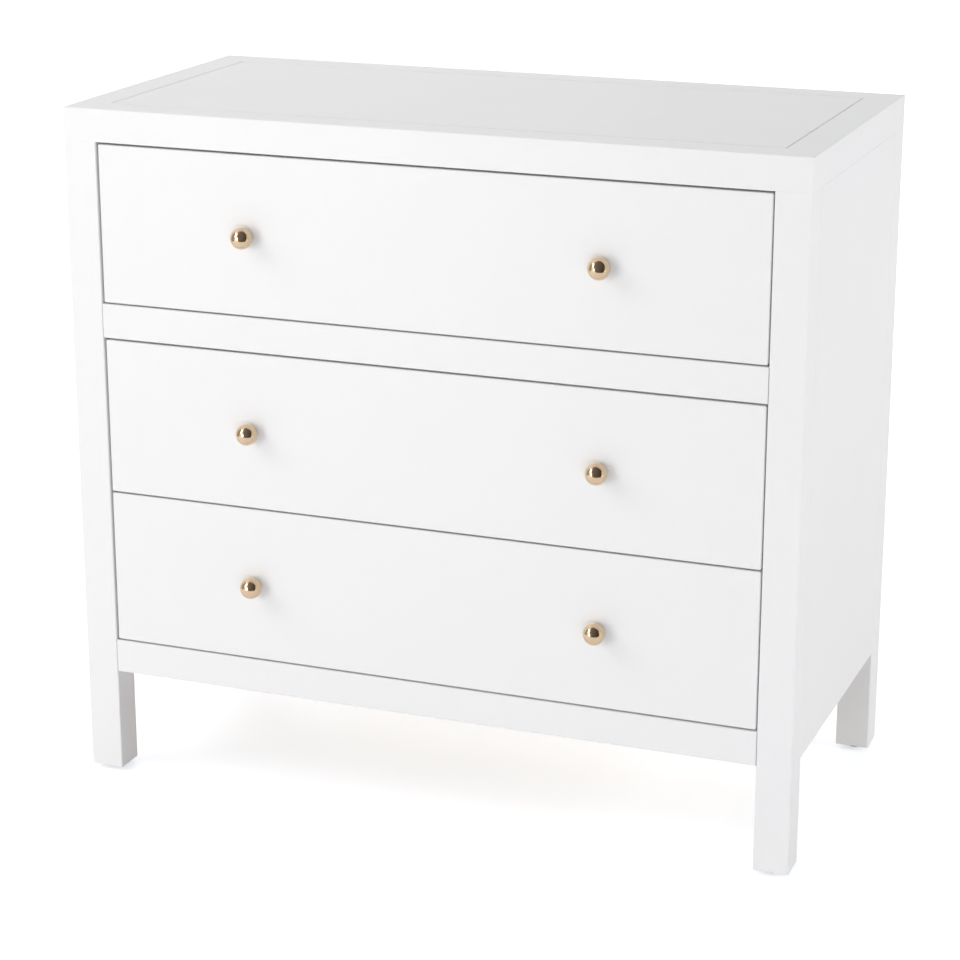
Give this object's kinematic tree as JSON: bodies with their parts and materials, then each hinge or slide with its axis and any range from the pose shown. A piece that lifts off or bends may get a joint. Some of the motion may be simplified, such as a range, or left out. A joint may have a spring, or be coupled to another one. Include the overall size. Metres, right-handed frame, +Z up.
{
  "type": "campaign chest of drawers",
  "caption": "Low white chest of drawers on square legs, with flush panels, inset drawers on telescoping ball-bearing slides, and small brass ball knobs.",
  "frame": {"origin": "on the floor, under the middle of the bounding box, knobs included", "axes": "+X to the chest's right as seen from the front, +Y from the front to the back, +Z up"},
  "size_m": [0.825, 0.4248, 0.766],
  "materials": {
    "white_paint": "smooth satin white lacquer on wood",
    "painted_hardboard": "flat white paint on thin board",
    "drawer_box_wood": "clear-finished light hardwood",
    "batten_wood": "bare planed softwood",
    "birch_plywood": "clear-finished plywood",
    "polished_brass": "polished light brass",
    "zinc_plated_steel": "bright zinc plate",
    "ball_cage_steel": "plain oiled steel",
    "black_nylon": "black nylon"
  },
  "bodies": {
    "carcass": {"back_panel": "painted_hardboard", "bottom_rail_back": "white_paint", "bottom_rail_front": "white_paint", "drawer_1_slide_outer": "zinc_plated_steel", "drawer_2_slide_outer": "zinc_plated_steel", "drawer_3_slide_outer": "zinc_plated_steel", "foot_glides": "black_nylon", "mid_rail": "white_paint", "post_back_left": "white_paint", "post_back_right": "white_paint", "post_front_left": "white_paint", "post_front_right": "white_paint", "runner_battens": "batten_wood", "side_panel_left": "white_paint", "side_panel_right": "white_paint", "top_panel": "white_paint", "top_rail_back": "white_paint", "top_rail_front": "white_paint", "top_rail_left": "white_paint", "top_rail_right": "white_paint"},
    "drawer_1": {"drawer_1_bottom": "birch_plywood", "drawer_1_box_back": "drawer_box_wood", "drawer_1_box_front": "drawer_box_wood", "drawer_1_front": "white_paint", "drawer_1_knobs": "polished_brass", "drawer_1_side_left": "drawer_box_wood", "drawer_1_side_right": "drawer_box_wood", "drawer_1_slide_inner": "zinc_plated_steel"},
    "drawer_1_middle_slides": {"drawer_1_slide_middle": "zinc_plated_steel"},
    "drawer_1_outer_ball_cages": {"drawer_1_outer_cages": "ball_cage_steel"},
    "drawer_1_inner_ball_cages": {"drawer_1_inner_cages": "ball_cage_steel"},
    "drawer_2": {"drawer_2_bottom": "birch_plywood", "drawer_2_box_back": "drawer_box_wood", "drawer_2_box_front": "drawer_box_wood", "drawer_2_front": "white_paint", "drawer_2_knobs": "polished_brass", "drawer_2_side_left": "drawer_box_wood", "drawer_2_side_right": "drawer_box_wood", "drawer_2_slide_inner": "zinc_plated_steel"},
    "drawer_2_middle_slides": {"drawer_2_slide_middle": "zinc_plated_steel"},
    "drawer_2_outer_ball_cages": {"drawer_2_outer_cages": "ball_cage_steel"},
    "drawer_2_inner_ball_cages": {"drawer_2_inner_cages": "ball_cage_steel"},
    "drawer_3": {"drawer_3_bottom": "birch_plywood", "drawer_3_box_back": "drawer_box_wood", "drawer_3_box_front": "drawer_box_wood", "drawer_3_front": "white_paint", "drawer_3_knobs": "polished_brass", "drawer_3_side_left": "drawer_box_wood", "drawer_3_side_right": "drawer_box_wood", "drawer_3_slide_inner": "zinc_plated_steel"},
    "drawer_3_middle_slides": {"drawer_3_slide_middle": "zinc_plated_steel"},
    "drawer_3_outer_ball_cages": {"drawer_3_outer_cages": "ball_cage_steel"},
    "drawer_3_inner_ball_cages": {"drawer_3_inner_cages": "ball_cage_steel"}
  },
  "joints": [
    {"name": "drawer_1_slide", "type": "slide", "parent": "carcass", "child": "drawer_1", "axis": [0, -1, 0], "range_m": [0, 0.35]},
    {"name": "drawer_1_middle_slides_travel", "type": "slide", "parent": "carcass", "child": "drawer_1_middle_slides", "axis": [0, -1, 0], "range_m": [0, 0.175]},
    {"name": "drawer_1_outer_ball_cages_travel", "type": "slide", "parent": "carcass", "child": "drawer_1_outer_ball_cages", "axis": [0, -1, 0], "range_m": [0, 0.0875]},
    {"name": "drawer_1_inner_ball_cages_travel", "type": "slide", "parent": "carcass", "child": "drawer_1_inner_ball_cages", "axis": [0, -1, 0], "range_m": [0, 0.2625]},
    {"name": "drawer_2_slide", "type": "slide", "parent": "carcass", "child": "drawer_2", "axis": [0, -1, 0], "range_m": [0, 0.35]},
    {"name": "drawer_2_middle_slides_travel", "type": "slide", "parent": "carcass", "child": "drawer_2_middle_slides", "axis": [0, -1, 0], "range_m": [0, 0.175]},
    {"name": "drawer_2_outer_ball_cages_travel", "type": "slide", "parent": "carcass", "child": "drawer_2_outer_ball_cages", "axis": [0, -1, 0], "range_m": [0, 0.0875]},
    {"name": "drawer_2_inner_ball_cages_travel", "type": "slide", "parent": "carcass", "child": "drawer_2_inner_ball_cages", "axis": [0, -1, 0], "range_m": [0, 0.2625]},
    {"name": "drawer_3_slide", "type": "slide", "parent": "carcass", "child": "drawer_3", "axis": [0, -1, 0], "range_m": [0, 0.35]},
    {"name": "drawer_3_middle_slides_travel", "type": "slide", "parent": "carcass", "child": "drawer_3_middle_slides", "axis": [0, -1, 0], "range_m": [0, 0.175]},
    {"name": "drawer_3_outer_ball_cages_travel", "type": "slide", "parent": "carcass", "child": "drawer_3_outer_ball_cages", "axis": [0, -1, 0], "range_m": [0, 0.0875]},
    {"name": "drawer_3_inner_ball_cages_travel", "type": "slide", "parent": "carcass", "child": "drawer_3_inner_ball_cages", "axis": [0, -1, 0], "range_m": [0, 0.2625]}
  ],
  "couplings": [
    {"joint": "drawer_1_middle_slides_travel", "follows": "drawer_1_slide", "ratio": 0.5},
    {"joint": "drawer_1_outer_ball_cages_travel", "follows": "drawer_1_slide", "ratio": 0.25},
    {"joint": "drawer_1_inner_ball_cages_travel", "follows": "drawer_1_slide", "ratio": 0.75},
    {"joint": "drawer_2_middle_slides_travel", "follows": "drawer_2_slide", "ratio": 0.5},
    {"joint": "drawer_2_outer_ball_cages_travel", "follows": "drawer_2_slide", "ratio": 0.25},
    {"joint": "drawer_2_inner_ball_cages_travel", "follows": "drawer_2_slide", "ratio": 0.75},
    {"joint": "drawer_3_middle_slides_travel", "follows": "drawer_3_slide", "ratio": 0.5},
    {"joint": "drawer_3_outer_ball_cages_travel", "follows": "drawer_3_slide", "ratio": 0.25},
    {"joint": "drawer_3_inner_ball_cages_travel", "follows": "drawer_3_slide", "ratio": 0.75}
  ]
}
